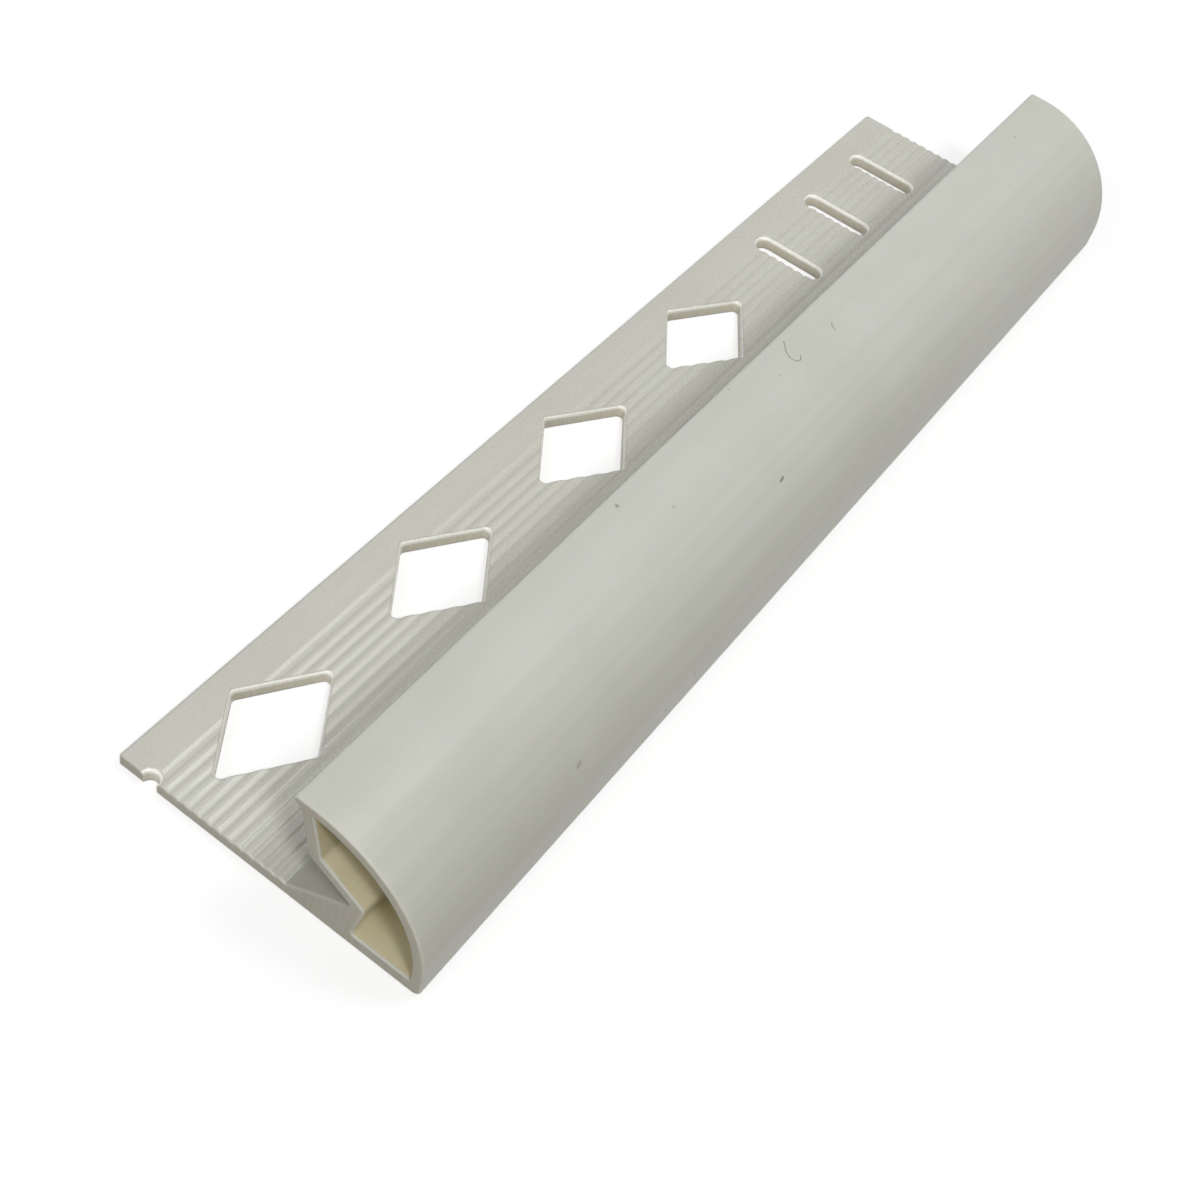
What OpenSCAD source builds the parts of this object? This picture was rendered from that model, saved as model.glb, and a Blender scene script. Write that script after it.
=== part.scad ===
// Closed quadrant tile edge trim: one short sawn length of extruded PVC.
// The flat leg beds in adhesive under the last tile, and the hollow quadrant
// covers the tile's raw edge. X runs across the section from the leg's free
// edge to the heel, Y along the extrusion and Z up. The origin is the middle
// of the underside's bounding box.

/* [Stock] */
// Length of the sawn piece
stock_length = 100; // [60:1:300]

/* [Leg] */
// Width of the leg, from its free edge to the tip of the nose
leg_width = 13.9; // [12:0.1:20]
// Thickness of the leg at its smooth band and over the crests of its ribs
leg_thickness = 1.2; // [1:0.05:1.8]
// Radius on the upper corner of the leg's free edge
leg_edge_radius = 0.3; // [0.1:0.05:0.6]

/* [Ribs] */
// Smooth band between the free edge and the first furrow
smooth_band = 2.75; // [1:0.05:6]
// Extra width of the first furrow, beside the smooth band
first_furrow = 0.2; // [0:0.05:0.4]
// Distance from one rib to the next
rib_pitch = 0.875; // [0.7:0.005:1.2]
// Height of a rib, from furrow to crest
rib_height = 0.12; // [0.06:0.02:0.3]

/* [Quadrant] */
// Height of the trim from its underside to the top of the quadrant
overall_height = 11.4; // [10.8:0.1:14]
// Outside radius of the quadrant
quadrant_radius = 9.4; // [8.8:0.1:10]
// Flat on top, from the tip of the nose to the start of the round
nose_flat = 1.3; // [0.8:0.1:3]
// Wall of the quadrant, the lip and the groove
wall = 0.9; // [0.7:0.05:1.1]
// Thickness of the floor under the hollow
floor_thickness = 1.2; // [0.9:0.05:1.6]
// Radius of the outer heel corner
heel_radius = 0.6; // [0.3:0.1:1]

/* [Tile side] */
// Overhang of the nose past the top of the lip
nose_overhang = 0.65; // [0.4:0.05:1]
// Thickness of the nose at its tip
nose_tip = 0.45; // [0.35:0.05:0.7]
// Radius on the upper corner of the nose
nose_radius = 0.3; // [0.1:0.05:0.35]
// Lean of the lip from upright, in degrees
lip_lean = 12; // [4:1:18]
// Height of the lip's lower corner above the underside
lip_bottom = 6.3; // [5.8:0.1:7]
// Depth of the keying groove, from the tip of the nose to its apex
groove_depth = 5; // [3.5:0.1:5.4]
// Height of the groove's apex above the underside
groove_height = 4.2; // [3.8:0.1:4.6]
// Width of the groove's foot where it stands on the floor
groove_foot = 5.2; // [4:0.1:5.6]

/* [Diamond holes] */
// Length of a diamond along the trim
diamond_length = 11.6; // [8:0.1:13]
// Width of a diamond across the leg
diamond_width = 7.4; // [5:0.1:8]
// Distance from one diamond to the next
diamond_pitch = 17.7; // [14:0.1:18]
// First diamond's middle from the near end
diamond_start = 8.4; // [7:0.1:9]
// Middle of the row of holes from the free edge
hole_line = 5.6; // [5:0.1:6.5]
// Radius in the corners of a diamond
diamond_corner = 0.4; // [0.2:0.05:1]
// Least land between the last diamond and the slots
diamond_land = 3; // [2:0.5:6]

/* [Slots] */
// Number of round-ended keying slots past the diamonds
slot_count = 3; // [1:1:3]
// Length of a slot across the leg
slot_length = 6.4; // [4:0.1:7]
// Width of a slot
slot_width = 1.7; // [1:0.1:2.5]
// Distance from one slot to the next
slot_pitch = 8.7; // [5:0.1:9]
// Last slot's middle from the far end
slot_end = 7.1; // [4:0.1:7.1]

/* [Notch] */
// Radius of the half-round nick in the near end of the leg
notch_radius = 0.6; // [0.3:0.05:0.9]
// Middle of the nick from the free edge
notch_place = 2.7; // [1.5:0.1:4]

/* [Hidden] */
$fn = 96;
trim_colour = [0.83, 0.83, 0.80];
// Steps in a small corner arc
arc_steps = 5;
// Overlap that carries a cut past the faces it opens
cut = 1;
overall_width = leg_width + nose_flat + quadrant_radius;
round_centre = [leg_width + nose_flat, overall_height - quadrant_radius];
lip_top = overall_height - nose_tip - nose_overhang;
lip_top_x = leg_width + nose_overhang;
lip_slope = tan(lip_lean);
lip_bottom_x = lip_top_x + (lip_top - lip_bottom) * lip_slope;
apex = [leg_width + groove_depth, groove_height];
ledge_run = apex - [lip_bottom_x, lip_bottom];
// Shift that carries a slanted face through one wall, measured upright or across
ledge_rise = wall * norm(ledge_run) / ledge_run.x;
lip_through = wall / cos(lip_lean);
// Small fillets of the groove and the hollow
groove_corner = 0.3;
// Ribs fill the leg from the smooth band to a last furrow at the foot of the groove
furrow_level = leg_thickness - rib_height;
rib_count = floor((leg_width - smooth_band - first_furrow) / rib_pitch - 0.5);
// Straight steps in one wave of the ribs
rib_steps = 12;
wave_steps = (rib_count + 0.5) * rib_steps;
// Diamonds fill the leg up to the slots
slot_zone = slot_end + (slot_count - 1) * slot_pitch + slot_width / 2;
diamond_room = stock_length - slot_zone - diamond_land - diamond_length / 2 - diamond_start;
diamond_last = floor(diamond_room / diamond_pitch);

function unit(v) = v / norm(v);
function turn(a) = a > 180 ? a - 360 : a < -180 ? a + 360 : a;
function heading(v) = atan2(v.y, v.x);

// Arc of radius r that rounds the corner p between its neighbours a and b
function corner_arc(a, p, b, r) =
    let (
        u = unit(a - p),
        v = unit(b - p),
        half = acos(u * v) / 2,
        middle = p + unit(u + v) * r / sin(half),
        start = heading(p + u * r / tan(half) - middle),
        sweep = turn(heading(p + v * r / tan(half) - middle) - start)
    )
    [for (i = [0:arc_steps]) middle + r * [
        cos(start + sweep * i / arc_steps),
        sin(start + sweep * i / arc_steps)
    ]];

// Closed outline from corners given as [x, y, radius]
function rounded(corners) =
    let (n = len(corners), p = [for (c = corners) [c.x, c.y]])
    [for (i = [0:n - 1])
        each corners[i].z > 0
            ? corner_arc(p[(i + n - 1) % n], p[i], p[(i + 1) % n], corners[i].z)
            : [p[i]]];

// Corner of the waved top of the leg, which starts on the crest at the smooth band
function wave_corner(i) = [
    smooth_band + rib_pitch * i / rib_steps + (i > rib_steps / 2 ? first_furrow : 0),
    leg_thickness - rib_height * (1 - cos(360 * i / rib_steps)) / 2,
    0
];

// Leg: smooth band at the free edge, then ribs, carried on into the foot of the groove
module leg_strip() {
    polygon(rounded([
        [0, 0, 0],
        [leg_width + cut, 0, 0],
        [leg_width + cut, furrow_level, 0],
        each [for (i = [wave_steps:-1:0]) wave_corner(i)],
        [0, leg_thickness, leg_edge_radius]
    ]));
}

// Solid quarter round on a straight heel, drawn one inset inside the trim
module quadrant_outline(inset, heel_corner, nose_corner) {
    right = overall_width - inset;
    top = overall_height - inset;
    intersection() {
        translate(round_centre)
            circle(quadrant_radius - inset);
        translate(round_centre)
            square(quadrant_radius);
    }
    polygon(rounded([
        [leg_width, 0, 0],
        [right, 0, heel_corner],
        [right, round_centre.y, 0],
        [round_centre.x, round_centre.y, 0],
        [round_centre.x, top, 0],
        [leg_width, top, nose_corner]
    ]));
}

// Space on the tile side: under the nose, down the lip and into the V groove
module tile_side() {
    polygon(rounded([
        [leg_width - cut, overall_height - nose_tip, 0],
        [leg_width, overall_height - nose_tip, 0],
        [lip_top_x, lip_top, groove_corner],
        [lip_bottom_x, lip_bottom, groove_corner],
        [apex.x, apex.y, groove_corner],
        [leg_width, furrow_level, 0],
        [leg_width - cut, furrow_level, 0]
    ]));
}

// Hollow of the quadrant, one wall inside the round, the lip and the ledge
module hollow() {
    ledge_slope = ledge_run.y / ledge_run.x;
    inner_top_x = lip_top_x + lip_through - (overall_height - lip_top) * lip_slope;
    inner_lip = [
        lip_bottom_x + lip_through,
        lip_bottom + ledge_rise + ledge_slope * lip_through
    ];
    tip = apex + [wall, ledge_rise + ledge_slope * wall];
    right = overall_width - wall;
    intersection() {
        quadrant_outline(wall, 0, 0);
        polygon(rounded([
            [inner_top_x, overall_height, 0],
            [inner_lip.x, inner_lip.y, groove_corner],
            [tip.x, tip.y, groove_corner],
            [tip.x, apex.y, groove_corner],
            [leg_width + groove_foot, floor_thickness, groove_corner],
            [right, floor_thickness, groove_corner],
            [right, overall_height, 0]
        ]));
    }
}

module section() {
    leg_strip();
    difference() {
        quadrant_outline(0, heel_radius, nose_radius);
        tile_side();
        hollow();
    }
}

// Diamond punched through the leg, with eased corners
module diamond() {
    half_length = diamond_length / 2;
    half_width = diamond_width / 2;
    polygon(rounded([
        [half_width, 0, diamond_corner],
        [0, half_length, diamond_corner],
        [-half_width, 0, diamond_corner],
        [0, -half_length, diamond_corner]
    ]));
}

module slot() {
    reach = (slot_length - slot_width) / 2;
    square([2 * reach, slot_width], center = true);
    for (side = [-1, 1])
        translate([side * reach, 0])
            circle(d = slot_width);
}

// Plan of everything punched through the leg, from the near free corner
module punching() {
    for (i = [0:diamond_last])
        translate([hole_line, diamond_start + i * diamond_pitch])
            diamond();
    for (i = [0:slot_count - 1])
        translate([hole_line, stock_length - slot_end - i * slot_pitch])
            slot();
    translate([notch_place, 0])
        circle(notch_radius);
}

module quadrant_trim() {
    color(trim_colour)
        translate([-overall_width / 2, -stock_length / 2, 0])
            difference() {
                translate([0, stock_length, 0])
                    rotate([90, 0, 0])
                        linear_extrude(stock_length)
                            section();
                translate([0, 0, -cut])
                    linear_extrude(overall_height)
                        punching();
            }
}

quadrant_trim();
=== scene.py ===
"""Looks of one short sawn length of closed quadrant tile trim in off-white PVC.

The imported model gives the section, the punched holes and the length. This script
extrudes that section again with narrower furrows and eased sawn ends, punches it
with rolled-in hole rims, and gives each kind of surface its own finish. One unit
is one metre.
"""

import logging
import math
from collections.abc import Callable
from dataclasses import dataclass
from enum import Enum

import bpy
from mathutils import Euler, Matrix, Vector


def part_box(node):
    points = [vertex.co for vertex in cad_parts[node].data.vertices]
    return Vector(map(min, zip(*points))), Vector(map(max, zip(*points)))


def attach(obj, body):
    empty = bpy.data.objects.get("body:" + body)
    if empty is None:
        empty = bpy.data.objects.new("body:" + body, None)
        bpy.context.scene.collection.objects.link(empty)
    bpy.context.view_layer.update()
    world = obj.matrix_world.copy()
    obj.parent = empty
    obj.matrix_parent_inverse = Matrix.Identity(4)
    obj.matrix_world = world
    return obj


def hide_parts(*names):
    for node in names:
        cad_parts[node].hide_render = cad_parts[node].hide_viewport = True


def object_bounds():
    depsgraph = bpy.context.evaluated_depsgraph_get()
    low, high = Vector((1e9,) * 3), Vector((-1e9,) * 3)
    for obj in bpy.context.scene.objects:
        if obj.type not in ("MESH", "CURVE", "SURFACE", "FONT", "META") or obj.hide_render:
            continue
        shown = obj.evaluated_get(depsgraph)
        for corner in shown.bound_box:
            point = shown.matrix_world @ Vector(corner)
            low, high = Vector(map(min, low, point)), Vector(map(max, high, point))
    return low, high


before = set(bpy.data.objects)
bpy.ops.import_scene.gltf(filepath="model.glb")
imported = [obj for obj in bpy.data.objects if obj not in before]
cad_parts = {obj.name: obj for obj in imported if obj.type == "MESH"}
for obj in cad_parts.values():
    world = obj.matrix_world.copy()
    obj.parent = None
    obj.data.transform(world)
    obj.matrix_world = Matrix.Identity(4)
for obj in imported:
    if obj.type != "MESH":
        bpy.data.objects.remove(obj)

CAD_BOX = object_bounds()
MM = 0.001
# Points closer than this are one point, and places are compared to as many decimals
WELD = 1e-6
DECIMALS = 6
WHITE = (1.0, 1.0, 1.0, 1.0)
LOG = logging.getLogger("tile_trim")

Sockets = dict[str | int, object]


def linear(code: str) -> tuple[float, float, float, float]:
    """Turn an sRGB hex colour into linear RGBA.

    Args:
        code: Six hex digits, such as "c8c9c2".

    Returns:
        The linear colour with an alpha of one.
    """
    shares = [int(code[i:i + 2], 16) / 255 for i in (0, 2, 4)]
    bent = [s / 12.92 if s <= 0.04045 else ((s + 0.055) / 1.055) ** 2.4 for s in shares]
    return (*bent, 1.0)


def add_node(
    tree: bpy.types.NodeTree,
    kind: str,
    sockets: Sockets | None = None,
    **settings: object,
) -> bpy.types.Node:
    """Add one shader node with its settings and links.

    Args:
        tree: Node tree that takes the node.
        kind: Type name of the node.
        sockets: Value or output socket for each input, by the input's name or place.
        settings: Properties of the node.

    Returns:
        The new node.
    """
    made = tree.nodes.new(kind)
    for name, value in settings.items():
        setattr(made, name, value)
    for key, value in (sockets or {}).items():
        if isinstance(value, bpy.types.NodeSocket):
            tree.links.new(value, made.inputs[key])
        else:
            made.inputs[key].default_value = value
    return made


def add_noise(
    tree: bpy.types.NodeTree, place: bpy.types.NodeSocket, size: float, detail: float
) -> bpy.types.NodeSocket:
    """Add one noise.

    Args:
        tree: Node tree of the material.
        place: Coordinates at which the noise is read.
        size: Width of its largest clouds, in the unit of those coordinates.
        detail: Number of finer layers.

    Returns:
        The socket that gives the noise.
    """
    made = add_node(
        tree, "ShaderNodeTexNoise", {"Vector": place, "Scale": 1 / size, "Detail": detail}
    )
    return made.outputs["Fac"]


def add_relief(
    tree: bpy.types.NodeTree,
    height: bpy.types.NodeSocket,
    depth: float,
    normal: bpy.types.NodeSocket,
) -> bpy.types.NodeSocket:
    """Add one layer of fine relief, too fine for the mesh.

    Args:
        tree: Node tree of the material.
        height: Height of the relief, as a share of its depth.
        depth: Depth of the relief, in mm.
        normal: Normal of the surface under it.

    Returns:
        The socket that gives the new normal.
    """
    made = add_node(
        tree,
        "ShaderNodeBump",
        {"Strength": 1.0, "Distance": depth * MM, "Height": height, "Normal": normal},
    )
    return made.outputs["Normal"]


def mix_colours(
    tree: bpy.types.NodeTree, share: bpy.types.NodeSocket, under: object, over: object
) -> bpy.types.NodeSocket:
    """Lay one colour over another.

    Args:
        tree: Node tree of the material.
        share: How much of the upper colour shows.
        under: Lower colour, as a value or a socket.
        over: Upper colour, as a value or a socket.

    Returns:
        The socket that gives the mixed colour.
    """
    # On a mix of colours, inputs 6 and 7 take the colours and output 2 gives the result
    made = add_node(tree, "ShaderNodeMix", {0: share, 6: under, 7: over}, data_type="RGBA")
    return made.outputs[2]


def take(piece: bpy.types.Object) -> None:
    """Make one object the only selected one, and the active one."""
    bpy.ops.object.select_all(action="DESELECT")
    piece.select_set(True)
    bpy.context.view_layer.objects.active = piece


def section_place(vertex: bpy.types.MeshVertex) -> tuple[float, float]:
    """Place of a corner in the section, rounded so that copies of it compare as equal."""
    return round(vertex.co.x, DECIMALS), round(vertex.co.z, DECIMALS)


def pick_faces(piece: bpy.types.Object, wanted: Callable[[bpy.types.MeshPolygon], bool]) -> None:
    """Select the faces of an object that pass a test, and nothing else on it.

    Args:
        piece: Object in object mode.
        wanted: Test of a face, by its place or normal.
    """
    mesh = piece.data
    bpy.context.tool_settings.mesh_select_mode = (False, False, True)
    for part in (mesh.vertices, mesh.edges, mesh.polygons):
        part.foreach_set("select", [False] * len(part))
    mesh.polygons.foreach_set("select", [wanted(face) for face in mesh.polygons])


@dataclass(frozen=True)
class Mark:
    """One mark of dirt on the quadrant: a speck, or a hair that follows a few short runs.

    Attributes:
        places: The speck, or the ends of the hair's runs, each as mm from the near end and
            degrees round the quadrant from the heel.
        width: Width of the mark, in mm.
        cover: Share of the plastic's colour that it hides.
    """

    places: tuple[tuple[float, float], ...]
    width: float
    cover: float

    # Outer radius of the quadrant, in mm
    ROUND = 9.4
    # Shares of the width at which the mark starts to fade and is gone
    CORE = 0.2
    FRINGE = 0.7

    def points(self) -> list[Vector]:
        """Places of the mark on the quadrant's skin, in mm."""
        low, high = (corner / MM for corner in CAD_BOX)
        spots = []
        for along, angle in self.places:
            turn = math.radians(angle)
            spots.append(Vector((
                high.x - self.ROUND * (1 - math.cos(turn)),
                low.y + along,
                high.z - self.ROUND * (1 - math.sin(turn)),
            )))
        return spots

    def mask(
        self, tree: bpy.types.NodeTree, millimetres: bpy.types.NodeSocket
    ) -> bpy.types.NodeSocket:
        """Share of the colour that the mark hides at each place.

        Args:
            tree: Node tree of the material.
            millimetres: Object coordinates in mm.

        Returns:
            The socket that gives the share.
        """
        spots = self.points()
        gap = add_node(
            tree, "ShaderNodeVectorMath", {0: millimetres, 1: spots[0]}, operation="DISTANCE"
        ).outputs["Value"]
        for start, end in zip(spots, spots[1:]):
            run = end - start
            offset = add_node(
                tree, "ShaderNodeVectorMath", {0: millimetres, 1: start}, operation="SUBTRACT"
            ).outputs["Vector"]
            share = add_node(
                tree,
                "ShaderNodeVectorMath",
                {0: offset, 1: run / run.length_squared},
                operation="DOT_PRODUCT",
            )
            held = add_node(tree, "ShaderNodeClamp", {"Value": share.outputs["Value"]})
            foot = add_node(
                tree,
                "ShaderNodeVectorMath",
                {0: run, "Scale": held.outputs["Result"]},
                operation="SCALE",
            )
            aside = add_node(
                tree,
                "ShaderNodeVectorMath",
                {0: offset, 1: foot.outputs["Vector"]},
                operation="DISTANCE",
            )
            nearest = add_node(
                tree, "ShaderNodeMath", {0: gap, 1: aside.outputs["Value"]}, operation="MINIMUM"
            )
            gap = nearest.outputs["Value"]
        shown = add_node(
            tree,
            "ShaderNodeMapRange",
            {
                "Value": gap,
                "From Min": self.CORE * self.width,
                "From Max": self.FRINGE * self.width,
                "To Min": self.cover,
                "To Max": 0.0,
            },
            interpolation_type="SMOOTHSTEP",
        )
        return shown.outputs["Result"]


@dataclass(frozen=True)
class PvcFinish:
    """One finish of the extruded PVC, from how that surface was made, with a tone that on some
    surfaces also holds painted light or shade.

    Attributes:
        name: Name of the material.
        tone: Colour of the plastic, with any painted light or shade, in sRGB hex.
        shade: Colour of its darker streaks.
        roughness: Mean roughness of the surface.
        line_width: Width of the marks that the tool left, in mm.
        line_axis: Scale of those marks along X, Y and Z, where a small share is a long mark.
        line_depth: Depth of those marks, in mm.
        grain_depth: Depth of the fine grain, in mm.
        soft: Share of the light that goes a little way into the plastic.
        shine: Strength of its mirror light, where 0.5 is plain plastic.
        marks: Dirt on the surface.
    """

    name: str
    tone: str
    shade: str
    roughness: float
    line_width: float
    line_axis: tuple[float, float, float]
    line_depth: float
    grain_depth: float
    soft: float
    shine: float
    marks: tuple[Mark, ...] = ()

    # Rigid PVC
    IOR = 1.53
    # How far light goes into white PVC, in mm, and how much further its red goes
    SOFT_REACH = 0.6
    SOFT_SHARES = (1.0, 0.85, 0.55)
    # Soft cloudiness of the tone, in mm
    CLOUD = 9.0
    # Grain of the surface, drawn coarser than the real one so that it shows
    GRAIN = 0.2
    # Finer layers of the clouds and the tool's marks, and of the grain
    DETAIL = 3.0
    GRAIN_DETAIL = 2.0
    # Radius over which a worn edge turns the light, in mm, and the rays that look for the edge
    EDGE = 0.12
    EDGE_RAYS = 4
    ROUGHNESS_SPREAD = 0.05
    # Clouds times marks from which the streaks fade, and at which the plain tone is left
    STREAK_RANGE = (0.12, 0.38)
    DIRT_TONE = "4f4a40"

    def material(self) -> bpy.types.Material:
        """Build the finish.

        Returns:
            A procedural material on Object coordinates.
        """
        made = bpy.data.materials.new(self.name)
        made.use_nodes = True
        tree = made.node_tree
        tree.nodes.clear()
        place = add_node(tree, "ShaderNodeTexCoord").outputs["Object"]
        millimetres = add_node(
            tree, "ShaderNodeMapping", {"Vector": place, "Scale": (1 / MM, 1 / MM, 1 / MM)}
        ).outputs["Vector"]
        drawn = add_node(
            tree,
            "ShaderNodeMapping",
            {"Vector": millimetres, "Scale": tuple(s / self.line_width for s in self.line_axis)},
        )
        lines = add_noise(tree, drawn.outputs["Vector"], 1.0, self.DETAIL)
        grain = add_noise(tree, millimetres, self.GRAIN, self.GRAIN_DETAIL)
        rough = add_node(
            tree,
            "ShaderNodeMapRange",
            {
                "Value": grain,
                "To Min": self.roughness - self.ROUGHNESS_SPREAD,
                "To Max": self.roughness + self.ROUGHNESS_SPREAD,
            },
        )
        edged = add_node(
            tree, "ShaderNodeBevel", {"Radius": self.EDGE * MM}, samples=self.EDGE_RAYS
        )
        grained = add_relief(tree, grain, self.grain_depth, edged.outputs["Normal"])
        lined = add_relief(tree, lines, self.line_depth, grained)
        shader = add_node(
            tree,
            "ShaderNodeBsdfPrincipled",
            {
                "Base Color": self.coloured(tree, millimetres, lines),
                "Roughness": rough.outputs["Result"],
                "IOR": self.IOR,
                "Specular IOR Level": self.shine,
                "Subsurface Weight": self.soft,
                "Subsurface Scale": self.SOFT_REACH * MM,
                "Subsurface Radius": self.SOFT_SHARES,
                "Normal": lined,
            },
        )
        add_node(tree, "ShaderNodeOutputMaterial", {"Surface": shader.outputs["BSDF"]})
        return made

    def coloured(
        self,
        tree: bpy.types.NodeTree,
        millimetres: bpy.types.NodeSocket,
        lines: bpy.types.NodeSocket,
    ) -> bpy.types.NodeSocket:
        """Colour of the plastic with its clouds, streaks and dirt.

        Args:
            tree: Node tree of the material.
            millimetres: Object coordinates in mm.
            lines: Height of the marks that the tool left, which the streaks follow.

        Returns:
            The socket that gives the colour.
        """
        cloud = add_noise(tree, millimetres, self.CLOUD, self.DETAIL)
        mixed = add_node(tree, "ShaderNodeMath", {0: cloud, 1: lines}, operation="MULTIPLY")
        start, end = self.STREAK_RANGE
        plain = add_node(
            tree,
            "ShaderNodeMapRange",
            {"Value": mixed.outputs["Value"], "From Min": start, "From Max": end},
        ).outputs["Result"]
        colour = mix_colours(tree, plain, linear(self.shade), linear(self.tone))
        for mark in self.marks:
            hidden = mark.mask(tree, millimetres)
            colour = mix_colours(tree, hidden, colour, linear(self.DIRT_TONE))
        return colour


# Lint and specks that lie on the quadrant
DIRT = (
    Mark(
        ((54.0, 93.5), (53.2, 89.5), (52.8, 85.5), (52.9, 82.5), (53.3, 81.5), (53.7, 83.0)),
        0.09,
        0.6,
    ),
    Mark(((58.7, 84.0), (58.4, 82.5), (58.3, 80.5)), 0.09, 0.6),
    Mark(((31.3, 92.0),), 0.32, 0.5),
    Mark(((44.1, 50.0), (43.7, 49.5)), 0.2, 0.7),
    Mark(((30.0, 4.0),), 0.25, 0.6),
    Mark(((26.5, 0.0),), 0.25, 0.6),
    Mark(((16.3, 26.0), (16.1, 25.7)), 0.4, 0.3),
    Mark(((46.5, 95.0),), 0.2, 0.4),
    Mark(((50.7, 83.0),), 0.2, 0.35),
    Mark(((92.5, 86.0),), 0.25, 0.4),
    Mark(((34.3, 75.0),), 0.25, 0.25),
)


class Surface(Enum):
    """The kinds of surface on the trim, each with the finish that its making left, where the
    ribbed, tile-side, lip and hollow tones also hold painted light or shade.
    """

    # Sized by the die: smooth and satin, with faint lines along the length
    SKIN = PvcFinish(
        "satin_extruded_pvc",
        tone="d9dad0",
        shade="d3d4c9",
        roughness=0.33,
        line_width=0.9,
        line_axis=(1.0, 0.015, 1.0),
        line_depth=0.014,
        grain_depth=0.005,
        soft=0.5,
        shine=0.2,
        marks=DIRT,
    )
    # Run over the die's fine teeth: the same plastic, with more shine on the ribs, and a tone a
    # little darker than the skin's that is painted shade dimming the leg
    RIBBED = PvcFinish(
        "ribbed_extruded_pvc",
        tone="d1d1c6",
        shade="cccbc0",
        roughness=0.27,
        line_width=0.9,
        line_axis=(1.0, 0.015, 1.0),
        line_depth=0.004,
        grain_depth=0.0012,
        soft=0.0,
        shine=0.48,
    )
    # Lip and groove, which the tile hides: drawn without a sizing plate, so dull and matt; its
    # tone, darker than the skin's, is painted shade that darkens the groove's pocket
    TILE_SIDE = PvcFinish(
        "matt_pvc_painted_groove_shade",
        tone="c3c3b8",
        shade="bbbbaf",
        roughness=0.6,
        line_width=0.9,
        line_axis=(1.0, 0.015, 1.0),
        line_depth=0.01,
        grain_depth=0.003,
        soft=0.15,
        shine=0.1,
    )
    # Cut by a saw: matt, with fine upright scratches
    SAWN = PvcFinish(
        "sawn_pvc",
        tone="c6c3b8",
        shade="bcb8ac",
        roughness=0.6,
        line_width=0.25,
        line_axis=(1.0, 1.0, 0.1),
        line_depth=0.02,
        grain_depth=0.003,
        soft=0.5,
        shine=0.4,
    )
    # Sheared by a punch: a little torn, with streaks through the thickness
    PUNCHED = PvcFinish(
        "punched_pvc",
        tone="ebe7d9",
        shade="e1ddce",
        roughness=0.45,
        line_width=0.3,
        line_axis=(1.0, 1.0, 0.2),
        line_depth=0.02,
        grain_depth=0.003,
        soft=0.5,
        shine=0.5,
    )
    # Rubbed by the punch as it went in: a polished lip, whose light tone is a painted highlight
    # that makes it glint
    BURNISHED = PvcFinish(
        "polished_lip_painted_highlight",
        tone="f7f6ee",
        shade="f2f1e8",
        roughness=0.28,
        line_width=0.4,
        line_axis=(1.0, 1.0, 1.0),
        line_depth=0.006,
        grain_depth=0.001,
        soft=0.0,
        shine=1.0,
    )
    # Inside the chamber: glossier, with a lighter and warmer tone than the skin's that is painted
    # light bounced round inside the chamber
    HOLLOW = PvcFinish(
        "hollow_pvc_painted_bounce_light",
        tone="e9e1c3",
        shade="dfd7b5",
        roughness=0.4,
        line_width=0.9,
        line_axis=(1.0, 0.02, 1.0),
        line_depth=0.006,
        grain_depth=0.002,
        soft=0.5,
        shine=0.4,
    )


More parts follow.
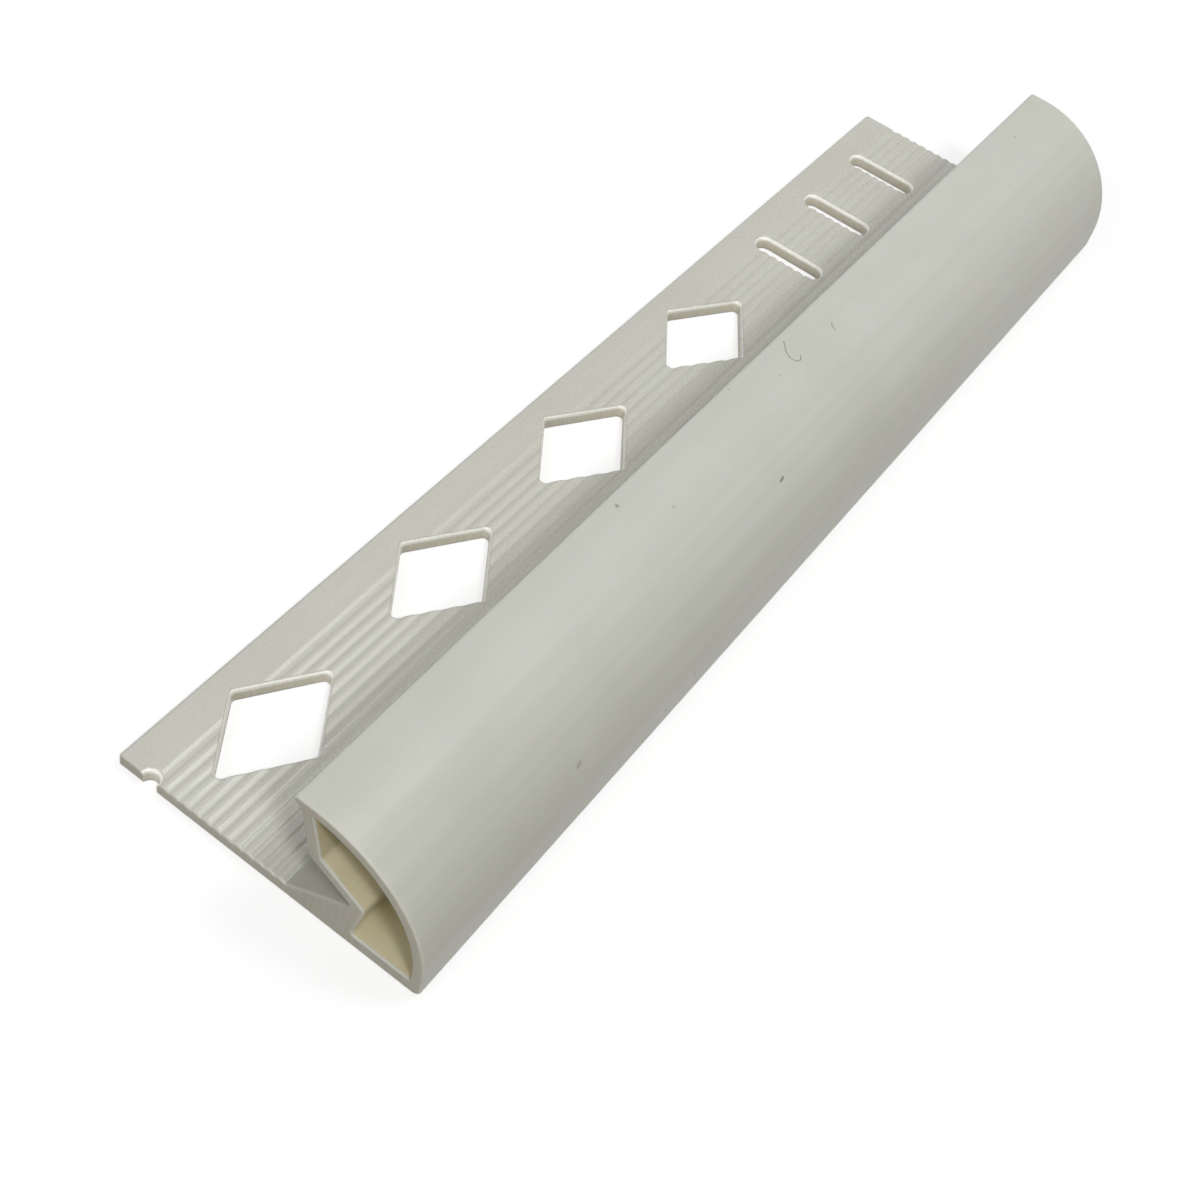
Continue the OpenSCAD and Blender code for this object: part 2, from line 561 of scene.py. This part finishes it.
@dataclass
class TrimLength:
    """The sawn length of trim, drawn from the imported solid.

    Attributes:
        node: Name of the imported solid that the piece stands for.
        name: Name of the piece.
        leg_width: Width of the leg, from its free edge to the groove, in mm.
        leg_thickness: Height of the ribs' crests above the underside, in mm.
        smooth_band: Width of the leg's plain band, from its free edge to the ribs, in mm.
        rib_height: Height of a rib, from furrow to crest, in mm.
        furrow_sharpness: Power that narrows the furrows of the plain wave, where 1 keeps it.
        end_ease: Radius that sawing and handling left on the end rims, in mm.
        rim_roll: Radius across of the rolled-in upper rim of a punched hole, in mm.
        rim_depth: Height of that roll, in mm.
        rim_top: Height above the underside where it ends, just under the furrows, in mm.
        nick_sides: Sides of the circle that the nick is half of.
        ease_steps: Faces across an eased or rolled edge.
        smooth_angle: Edges sharper than this stay sharp, in degrees.
    """

    node: str = "quadrant_trim"
    name: str = "trim_length"
    leg_width: float = 13.9
    leg_thickness: float = 1.2
    smooth_band: float = 2.75
    rib_height: float = 0.12
    furrow_sharpness: float = 2.0
    end_ease: float = 0.18
    rim_roll: float = 0.28
    rim_depth: float = 0.26
    rim_top: float = 1.05
    nick_sides: int = 48
    ease_steps: int = 4
    smooth_angle: float = 40.0

    # How far a punch reaches past the faces that it opens, in mm
    OVERSHOOT = 1.0
    # The nick's corners are all nearer to the end than this, in mm
    NICK_REACH = 1.0
    # A face counts as facing an axis when more than this share of its normal lies along it
    FACING = 0.9
    # Nothing of the leg is above this height, in mm
    LEG_TOP = 1.25
    # The lip and the groove are between the leg and this height under the nose, in mm
    NOSE = 10.9

    def __post_init__(self) -> None:
        """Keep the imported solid's lowest and highest corners."""
        self.low, self.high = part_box(self.node)

    def copy_of_node(self, name: str) -> bpy.types.Object:
        """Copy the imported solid's mesh into a new object and merge its loose triangles.

        Args:
            name: Name of the new object.

        Returns:
            The new object, selected and active.
        """
        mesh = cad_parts[self.node].data.copy()
        mesh.materials.clear()
        made = bpy.data.objects.new(name, mesh)
        bpy.context.scene.collection.objects.link(made)
        take(made)
        bpy.ops.mesh.customdata_custom_splitnormals_clear()
        bpy.ops.object.mode_set(mode="EDIT")
        bpy.ops.mesh.select_all(action="SELECT")
        bpy.ops.mesh.remove_doubles(threshold=WELD)
        bpy.ops.object.mode_set(mode="OBJECT")
        return made

    def sheet_of_node(
        self, name: str, wanted: Callable[[bpy.types.MeshPolygon], bool]
    ) -> bpy.types.Object:
        """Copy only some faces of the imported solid.

        Args:
            name: Name of the new object.
            wanted: Test of a face that stays.

        Returns:
            The new object, selected and active.
        """
        sheet = self.copy_of_node(name)
        pick_faces(sheet, lambda face: not wanted(face))
        bpy.ops.object.mode_set(mode="EDIT")
        bpy.ops.mesh.delete(type="FACE")
        bpy.ops.object.mode_set(mode="OBJECT")
        return sheet

    def outlines(
        self, name: str, wanted: Callable[[bpy.types.MeshPolygon], bool]
    ) -> list[bpy.types.Object]:
        """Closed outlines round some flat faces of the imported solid.

        Args:
            name: Name that the new objects start with.
            wanted: Test of a face that is in the outlined region.

        Returns:
            One object of bare edges per outline, the longest outline first.
        """
        sheet = self.sheet_of_node(name, wanted)
        bpy.ops.object.mode_set(mode="EDIT")
        bpy.ops.mesh.select_all(action="SELECT")
        bpy.ops.mesh.region_to_loop()
        bpy.ops.mesh.select_all(action="INVERT")
        bpy.ops.mesh.delete(type="EDGE_FACE")
        bpy.ops.mesh.select_all(action="SELECT")
        bpy.ops.mesh.separate(type="LOOSE")
        bpy.ops.object.mode_set(mode="OBJECT")
        loops = list(bpy.context.selected_objects)
        return sorted(loops, key=lambda loop: loop.dimensions.length, reverse=True)

    def is_far_end(self, face: bpy.types.MeshPolygon) -> bool:
        """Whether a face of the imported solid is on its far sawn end."""
        return face.normal.y > self.FACING and face.center.y > self.high.y - WELD

    def is_underside(self, face: bpy.types.MeshPolygon) -> bool:
        """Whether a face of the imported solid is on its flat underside."""
        return face.normal.z < -self.FACING and face.center.z < self.low.z + WELD

    def narrow_furrows(self, section: bpy.types.Object) -> None:
        """Narrow the furrows of the leg's plain wave, and keep their pitch, depth and place.

        Args:
            section: Sheet of the section, whose corners on the leg's top move.
        """
        crest = self.low.z + self.leg_thickness * MM
        for vertex in section.data.vertices:
            across = (vertex.co.x - self.low.x) / MM
            depth = (crest - vertex.co.z) / (self.rib_height * MM)
            if self.smooth_band < across < self.leg_width and 0 < depth < 1:
                vertex.co.z = crest - self.rib_height * MM * depth ** self.furrow_sharpness

    def extruded(self) -> bpy.types.Object:
        """Extrude the far end's section over the length, with eased rims on both ends.

        Returns:
            The unpunched length.
        """
        ease = self.end_ease * MM
        piece = self.sheet_of_node(self.name, self.is_far_end)
        self.narrow_furrows(piece)
        bpy.ops.object.mode_set(mode="EDIT")
        bpy.ops.mesh.select_all(action="SELECT")
        bpy.ops.transform.translate(value=(0, -ease, 0))
        bpy.ops.mesh.extrude_region_move(
            TRANSFORM_OT_translate={"value": (0, self.low.y - self.high.y + 2 * ease, 0)}
        )
        bpy.ops.mesh.select_all(action="SELECT")
        bpy.ops.mesh.normals_make_consistent(inside=False)
        bpy.ops.object.mode_set(mode="OBJECT")
        for side in (-1, 1):
            self.ease_end(piece, side)
        return piece

    def ease_end(self, piece: bpy.types.Object, side: int) -> None:
        """Round the rims of one sawn end by small insets that also carry the face outwards.

        Args:
            piece: The extruded length.
            side: 1 for the far end and -1 for the near one.
        """
        pick_faces(piece, lambda face: face.normal.y * side > self.FACING)
        bpy.ops.object.mode_set(mode="EDIT")
        ease = self.end_ease * MM
        turns = [math.pi / 2 * i / self.ease_steps for i in range(self.ease_steps + 1)]
        for before, after in zip(turns, turns[1:]):
            bpy.ops.mesh.inset(
                thickness=ease * (math.cos(before) - math.cos(after)),
                depth=ease * (math.sin(after) - math.sin(before)),
                use_even_offset=True,
            )
        bpy.ops.object.mode_set(mode="OBJECT")

    def finish_surfaces(self, piece: bpy.types.Object) -> None:
        """Give the ends, the hollow, the ribbed leg, the tile side and the skin their finishes.

        Args:
            piece: The extruded length.
        """
        outer, hollow = self.outlines("section_outline", self.is_far_end)
        inner_points = {section_place(vertex) for vertex in hollow.data.vertices}
        bpy.data.objects.remove(outer)
        bpy.data.objects.remove(hollow)
        mesh = piece.data
        kinds = [Surface.SKIN, Surface.RIBBED, Surface.TILE_SIDE, Surface.SAWN, Surface.HOLLOW]
        for kind in kinds:
            mesh.materials.append(kind.value.material())
        places = [section_place(vertex) for vertex in mesh.vertices]
        for face in mesh.polygons:
            kind = Surface.SKIN
            if abs(face.normal.y) > self.FACING:
                kind = Surface.SAWN
            elif all(places[i] in inner_points for i in face.vertices):
                kind = Surface.HOLLOW
            elif face.normal.z > 0 and face.center.z < self.low.z + self.LEG_TOP * MM:
                kind = Surface.RIBBED
            elif face.normal.x < 0 and self.LEG_TOP < (face.center.z - self.low.z) / MM < self.NOSE:
                kind = Surface.TILE_SIDE
            face.material_index = kinds.index(kind)

    def nick_outline(self, outline: bpy.types.Object) -> bpy.types.Object:
        """Full circle of the half-round nick in the near end of the leg.

        Args:
            outline: Outer outline of the underside, with the nick in it.

        Returns:
            A filled circle on the underside.
        """
        end = self.low.y
        nick = [
            v.co for v in outline.data.vertices
            if end + WELD < v.co.y < end + self.NICK_REACH * MM
        ]
        across = [p.x for p in nick]
        # Half a side of turn keeps the circle's corners off the end's plane
        bpy.ops.mesh.primitive_circle_add(
            vertices=self.nick_sides,
            radius=max(p.y for p in nick) - end,
            fill_type="NGON",
            location=((min(across) + max(across)) / 2, end, self.low.z),
            rotation=(0, 0, math.pi / self.nick_sides),
        )
        circle = bpy.context.object
        bpy.ops.object.transform_apply(location=True, rotation=True)
        return circle

    def punch(self, outline: bpy.types.Object) -> None:
        """Raise a hole's outline into a punch that widens over the rolled rim.

        Args:
            outline: Closed outline on the underside, which becomes the punch.
        """
        points = [v.co for v in outline.data.vertices]
        least = Vector(min(p[i] for p in points) for i in range(3))
        most = Vector(max(p[i] for p in points) for i in range(3))
        half = (most - least) / 2
        reach = self.OVERSHOOT * MM
        take(outline)
        bpy.ops.object.mode_set(mode="EDIT")
        bpy.ops.mesh.select_all(action="SELECT")
        if not outline.data.polygons:
            bpy.ops.mesh.edge_face_add()
        bpy.ops.transform.translate(value=(0, 0, -reach))
        straight = reach + (self.rim_top - self.rim_depth) * MM
        bpy.ops.mesh.extrude_region_move(TRANSFORM_OT_translate={"value": (0, 0, straight)})
        # The roll ends half a step short of level, so that its last face still leans
        turns = [math.pi / 2 * i / (self.ease_steps + 0.5) for i in range(self.ease_steps + 1)]
        for before, after in zip(turns, turns[1:]):
            rise = self.rim_depth * MM * (math.sin(after) - math.sin(before)) / math.sin(turns[-1])
            widths = [self.rim_roll * MM * (1 - math.cos(turn)) for turn in (before, after)]
            spread = [(half[i] + widths[1]) / (half[i] + widths[0]) for i in (0, 1)]
            bpy.ops.mesh.extrude_region_move(TRANSFORM_OT_translate={"value": (0, 0, rise)})
            bpy.ops.transform.resize(value=(*spread, 1), center_override=(least + most) / 2)
        bpy.ops.mesh.extrude_region_move(TRANSFORM_OT_translate={"value": (0, 0, reach)})
        bpy.ops.mesh.select_all(action="SELECT")
        bpy.ops.mesh.normals_make_consistent(inside=False)
        bpy.ops.object.mode_set(mode="OBJECT")

    def punch_set(self) -> bpy.types.Object:
        """All the punches of the leg, in one object.

        Returns:
            The punches, which leave walls in the punched finish under lips with a painted
            highlight.
        """
        outline, *holes = self.outlines("punch", self.is_underside)
        holes.append(self.nick_outline(outline))
        bpy.data.objects.remove(outline)
        for hole in holes:
            self.punch(hole)
        take(holes[0])
        for hole in holes:
            hole.select_set(True)
        bpy.ops.object.join()
        punches = bpy.context.object
        punches.data.materials.clear()
        punches.data.materials.append(Surface.PUNCHED.value.material())
        punches.data.materials.append(Surface.BURNISHED.value.material())
        rim_foot = self.low.z + (self.rim_top - self.rim_depth) * MM
        for face in punches.data.polygons:
            face.material_index = int(face.center.z > rim_foot + WELD)
        return punches

    def build(self) -> bpy.types.Object:
        """Make the piece and hang it on the frame.

        Returns:
            The finished piece.
        """
        piece = self.extruded()
        self.finish_surfaces(piece)
        punches = self.punch_set()
        take(piece)
        cut = piece.modifiers.new("punching", "BOOLEAN")
        cut.operation = "DIFFERENCE"
        cut.object = punches
        cut.solver = "EXACT"
        cut.material_mode = "TRANSFER"
        bpy.ops.object.modifier_apply(modifier=cut.name)
        bpy.data.objects.remove(punches)
        bpy.ops.object.mode_set(mode="EDIT")
        bpy.ops.mesh.select_all(action="SELECT")
        bpy.ops.mesh.dissolve_degenerate(threshold=WELD)
        bpy.ops.object.mode_set(mode="OBJECT")
        bpy.ops.object.shade_smooth_by_angle(angle=math.radians(self.smooth_angle))
        weigh = piece.modifiers.new("flat_faces_first", "WEIGHTED_NORMAL")
        weigh.keep_sharp = True
        bpy.ops.object.modifier_apply(modifier=weigh.name)
        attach(piece, "root")
        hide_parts(self.node)
        return piece


@dataclass(frozen=True)
class CameraStand:
    """Where the photograph was taken from.

    Attributes:
        azimuth: Turn round the part, in degrees; 0 looks along +Y.
        elevation: Height above the horizon, in degrees.
        roll: Tilt of the frame, in degrees.
        place: Place of the lens, in mm.
        focal: Focal length, in pixels of the photograph.
        centre: Pixel of the photograph that lies on the lens axis.
        side: Width and height of the photograph, in pixels.
    """

    azimuth: float = 24.94
    elevation: float = 49.86
    roll: float = 14.71
    place: tuple[float, float, float] = (32.60, -91.88, 95.13)
    focal: float = 1717.9
    centre: tuple[float, float] = (540.0, 585.0)
    side: float = 1200.0

    def build(self) -> bpy.types.Object:
        """Set up the scene's camera.

        Returns:
            The camera.
        """
        data = bpy.data.cameras.new("photo_view")
        data.lens = self.focal / self.side * data.sensor_width
        data.shift_x = 0.5 - self.centre[0] / self.side
        data.shift_y = self.centre[1] / self.side - 0.5
        data.clip_start = MM
        camera = bpy.data.objects.new("photo_view", data)
        bpy.context.scene.collection.objects.link(camera)
        aim = Matrix.Rotation(math.radians(self.azimuth), 3, "Z")
        aim @= Matrix.Rotation(math.radians(90 - self.elevation), 3, "X")
        aim @= Matrix.Rotation(math.radians(self.roll), 3, "Z")
        camera.rotation_euler = aim.to_euler()
        camera.location = Vector(self.place) * MM
        bpy.context.scene.camera = camera
        return camera


@dataclass(frozen=True)
class Lamp:
    """One soft lamp, far enough away to light floor and part evenly.

    Attributes:
        name: Name of the lamp.
        azimuth: Where it stands, in degrees from +X towards +Y.
        elevation: Height above the horizon, in degrees.
        level: Share of full light that it gives a face turned to it.
        softness: Width of the lamp as seen from the part, in degrees.
    """

    name: str
    azimuth: float
    elevation: float
    level: float
    softness: float

    def build(self) -> bpy.types.Object:
        """Hang the lamp.

        Returns:
            The lamp.
        """
        data = bpy.data.lights.new(self.name, "SUN")
        data.energy = self.level * math.pi
        data.angle = math.radians(self.softness)
        lamp = bpy.data.objects.new(self.name, data)
        bpy.context.scene.collection.objects.link(lamp)
        tilt = math.radians(90 - self.elevation)
        lamp.rotation_euler = Euler((tilt, 0, math.radians(self.azimuth + 90)))
        return lamp


@dataclass(frozen=True)
class Studio:
    """White floor, soft light and the world round the part.

    Attributes:
        floor_size: Width of the floor, in metres.
        floor_drop: Gap that keeps the floor off the underside, in mm.
        floor_tone: Colour that the floor throws back on the part, in sRGB hex.
        floor_light: Share of full light that falls on the open floor.
        glow: Share of the floor's white that its shadow can't darken.
        sky: Light from all round, as a share of full light.
        lamps: The lamps.
    """

    floor_size: float = 6.0
    floor_drop: float = 0.02
    floor_tone: str = "857f6c"
    floor_light: float = 0.78
    glow: float = 0.65
    sky: float = 0.02
    lamps: tuple[Lamp, ...] = (
        Lamp("broad_ceiling", 250.0, 79.0, 0.34, 110.0),
        Lamp("side_window", 325.0, 55.0, 0.265, 9.0),
        Lamp("back_lamp", 58.0, 63.0, 0.125, 24.0),
        Lamp("bare_bulb", 56.0, 64.0, 0.06, 8.0),
        Lamp("front_window", 266.0, 21.0, 0.2, 44.0),
    )

    def seen(self, tree: bpy.types.NodeTree) -> bpy.types.NodeSocket:
        """Socket that is 1 for what the eye, a gloss or a glass sees, and 0 for thrown light."""
        path = add_node(tree, "ShaderNodeLightPath")
        shown = path.outputs["Is Camera Ray"]
        for ray in ("Is Glossy Ray", "Is Transmission Ray"):
            both = add_node(
                tree, "ShaderNodeMath", {0: shown, 1: path.outputs[ray]}, operation="MAXIMUM"
            )
            shown = both.outputs["Value"]
        return shown

    def floor(self) -> bpy.types.Object:
        """Lay the floor: white to the eye with the part's shadow, grey in the light it throws.

        Returns:
            The floor.
        """
        bpy.ops.mesh.primitive_plane_add(
            size=self.floor_size, location=(0, 0, -self.floor_drop * MM)
        )
        floor = bpy.context.object
        floor.name = "floor"
        made = bpy.data.materials.new("white_paper_floor")
        made.use_nodes = True
        tree = made.node_tree
        tree.nodes.clear()
        white = (1 - self.glow) / self.floor_light
        thrown = add_node(tree, "ShaderNodeBsdfDiffuse", {"Color": linear(self.floor_tone)})
        paper = add_node(tree, "ShaderNodeBsdfDiffuse", {"Color": (white, white, white, 1)})
        glow = add_node(tree, "ShaderNodeEmission", {"Strength": self.glow})
        sheet = add_node(
            tree, "ShaderNodeAddShader", {0: paper.outputs[0], 1: glow.outputs[0]}
        )
        mix = add_node(
            tree,
            "ShaderNodeMixShader",
            {0: self.seen(tree), 1: thrown.outputs[0], 2: sheet.outputs[0]},
        )
        add_node(tree, "ShaderNodeOutputMaterial", {"Surface": mix.outputs[0]})
        floor.data.materials.append(made)
        return floor

    def world(self) -> None:
        """Light from all round, which the eye sees as white."""
        world = bpy.data.worlds.new("white_studio")
        bpy.context.scene.world = world
        world.use_nodes = True
        tree = world.node_tree
        tree.nodes.clear()
        light = add_node(tree, "ShaderNodeBackground", {"Color": WHITE, "Strength": self.sky})
        white = add_node(tree, "ShaderNodeBackground", {"Color": WHITE, "Strength": 1.0})
        mix = add_node(
            tree,
            "ShaderNodeMixShader",
            {0: self.seen(tree), 1: light.outputs[0], 2: white.outputs[0]},
        )
        add_node(tree, "ShaderNodeOutputWorld", {"Surface": mix.outputs[0]})

    def build(self) -> None:
        """Set the stage and the colour handling."""
        self.floor()
        self.world()
        for lamp in self.lamps:
            lamp.build()
        bpy.context.scene.view_settings.view_transform = "Standard"


def main() -> None:
    """Build the trim, the camera and the studio, and report each piece."""
    logging.basicConfig(level=logging.INFO)
    piece = TrimLength().build()
    LOG.info("%s: %d faces", piece.name, len(piece.data.polygons))
    CameraStand().build()
    Studio().build()


if __name__ == "__main__":
    main()
